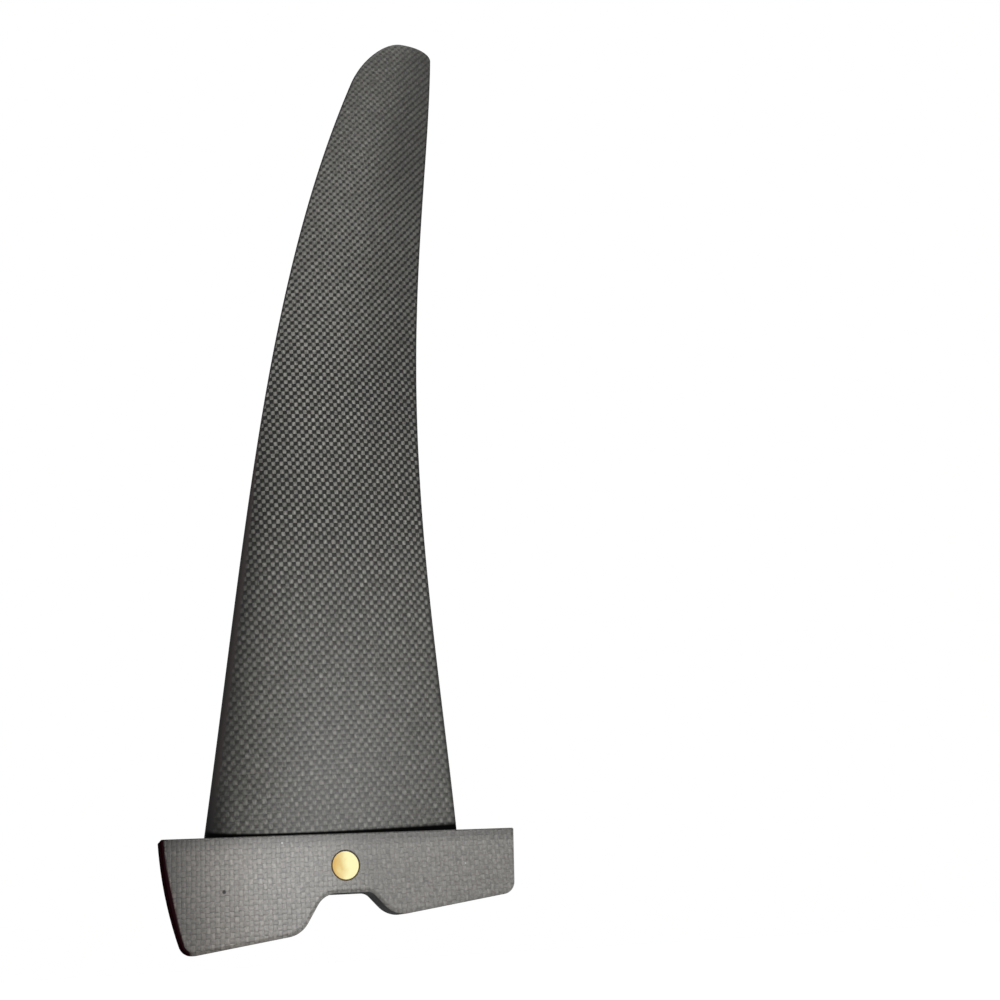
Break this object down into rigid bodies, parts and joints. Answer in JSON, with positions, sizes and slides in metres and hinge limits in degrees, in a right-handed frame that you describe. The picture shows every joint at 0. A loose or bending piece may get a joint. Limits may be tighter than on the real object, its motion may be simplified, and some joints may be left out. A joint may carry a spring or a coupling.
{
  "type": "windsurf fin",
  "caption": "Raked windsurf fin: a woven carbon foil blade bonded into a tapered head, notched below for the bolt that pulls on its brass barrel nut.",
  "frame": {"origin": "centre of the barrel nut, on the bolt's axis", "axes": "+Z along the bolt's axis to the tip of the blade, +X to the trailing edge, Y through the thickness"},
  "size_m": [0.1557, 0.016, 0.4844],
  "materials": {
    "blade_carbon": "satin plain-weave carbon cloth in epoxy",
    "head_carbon": "satin, sanded, lighter and warmer than the blade",
    "nut_brass": "turned end faces, a little tarnished"
  },
  "bodies": {
    "root": {"blade": "blade_carbon", "head": "head_carbon", "barrel_nut": "nut_brass"}
  },
  "joints": []
}
